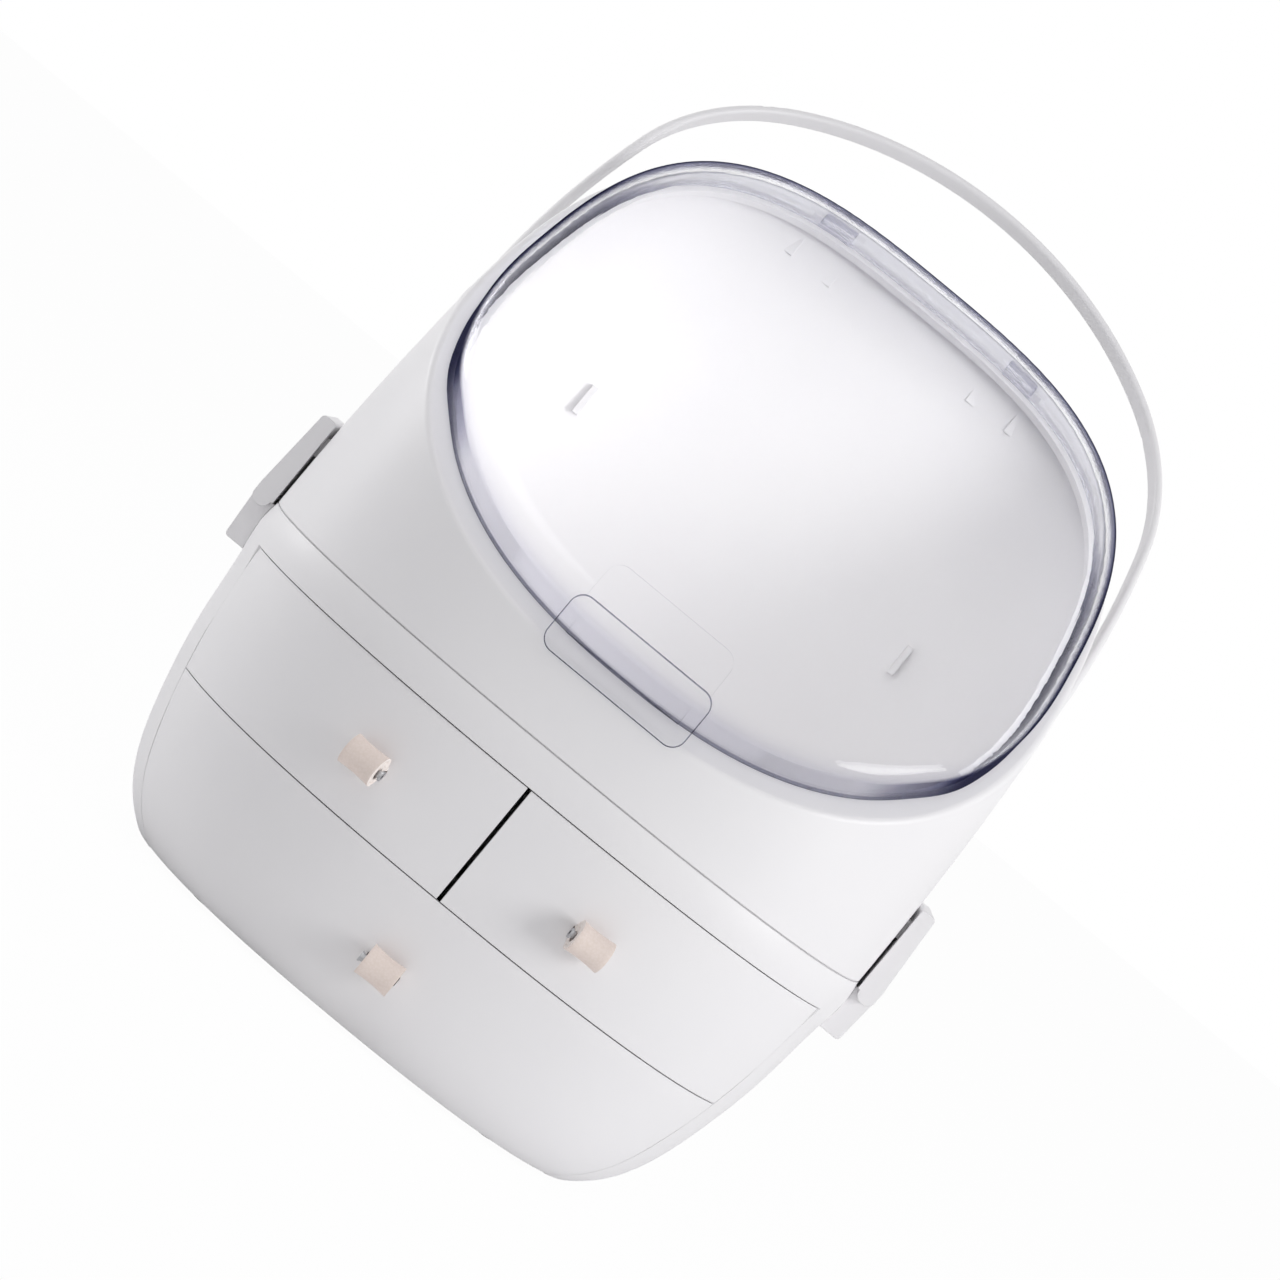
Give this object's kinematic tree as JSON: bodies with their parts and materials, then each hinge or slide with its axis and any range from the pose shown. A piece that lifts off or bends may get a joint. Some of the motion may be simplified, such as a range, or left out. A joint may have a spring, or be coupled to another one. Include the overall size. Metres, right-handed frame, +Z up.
{
  "type": "makeup storage box",
  "caption": "Egg-shaped makeup storage box in white plastic: drawers with rolled pulls below, a deep case with a slanted clear lid above, a swinging carrying handle and side latches.",
  "frame": {"origin": "on the floor under the middle of the body, on the plinth's resting face", "axes": "+Z up, -Y out of the drawer fronts, +X to the right as seen from the front"},
  "size_m": [0.288, 0.2676, 0.3827],
  "materials": {
    "white_satin_plastic": "satin",
    "white_inner_plastic": "satin",
    "clear_plastic": "clear gloss",
    "nude_leatherette": "matte",
    "steel": "brushed",
    "grey_rubber": "matte"
  },
  "bodies": {
    "cabinet": {"cabinet_shell": "white_satin_plastic", "front_frame": "white_inner_plastic", "drawer_shelf": "white_inner_plastic", "drawer_partition": "white_inner_plastic", "base_plate": "white_inner_plastic", "upper_runners": "white_inner_plastic", "lower_runners": "white_inner_plastic", "rubber_feet": "grey_rubber", "upper_case": "white_satin_plastic", "hinge_pins": "steel", "handle_pivot_studs": "steel", "left_latch_bracket": "white_satin_plastic", "right_latch_bracket": "white_satin_plastic", "left_latch_pin": "steel", "right_latch_pin": "steel"},
    "lid": {"lid": "clear_plastic", "lid_grip": "clear_plastic"},
    "handle": {"handle": "white_satin_plastic"},
    "left_drawer": {"left_drawer_front": "white_satin_plastic", "left_drawer_tray": "white_inner_plastic", "left_pull_strap": "nude_leatherette", "left_pull_pin": "steel"},
    "right_drawer": {"right_drawer_front": "white_satin_plastic", "right_drawer_tray": "white_inner_plastic", "right_pull_strap": "nude_leatherette", "right_pull_pin": "steel"},
    "bottom_drawer": {"bottom_drawer_front": "white_satin_plastic", "bottom_drawer_tray": "white_inner_plastic", "bottom_pull_strap": "nude_leatherette", "bottom_pull_pin": "steel"},
    "left_latch": {"left_latch_flap": "white_satin_plastic"},
    "right_latch": {"right_latch_flap": "white_satin_plastic"}
  },
  "joints": [
    {"name": "lid_hinge", "type": "hinge", "parent": "cabinet", "child": "lid", "pos_m": [0, 0.09939, 0.32701], "axis": [-1, 0, 0], "range_deg": [0, 137]},
    {"name": "handle_swing", "type": "hinge", "parent": "cabinet", "child": "handle", "pos_m": [0, 0.028, 0.218], "axis": [1, 0, 0], "range_deg": [0, 50]},
    {"name": "left_drawer_slide", "type": "slide", "parent": "cabinet", "child": "left_drawer", "axis": [0, -1, 0], "range_m": [0, 0.085]},
    {"name": "right_drawer_slide", "type": "slide", "parent": "cabinet", "child": "right_drawer", "axis": [0, -1, 0], "range_m": [0, 0.085]},
    {"name": "bottom_drawer_slide", "type": "slide", "parent": "cabinet", "child": "bottom_drawer", "axis": [0, -1, 0], "range_m": [0, 0.085]},
    {"name": "left_latch_swing", "type": "hinge", "parent": "cabinet", "child": "left_latch", "pos_m": [-0.1404, 0, 0.1208], "axis": [0, -1, 0], "range_deg": [0, 90]},
    {"name": "right_latch_swing", "type": "hinge", "parent": "cabinet", "child": "right_latch", "pos_m": [0.1404, 0, 0.1208], "axis": [0, 1, 0], "range_deg": [0, 90]}
  ]
}
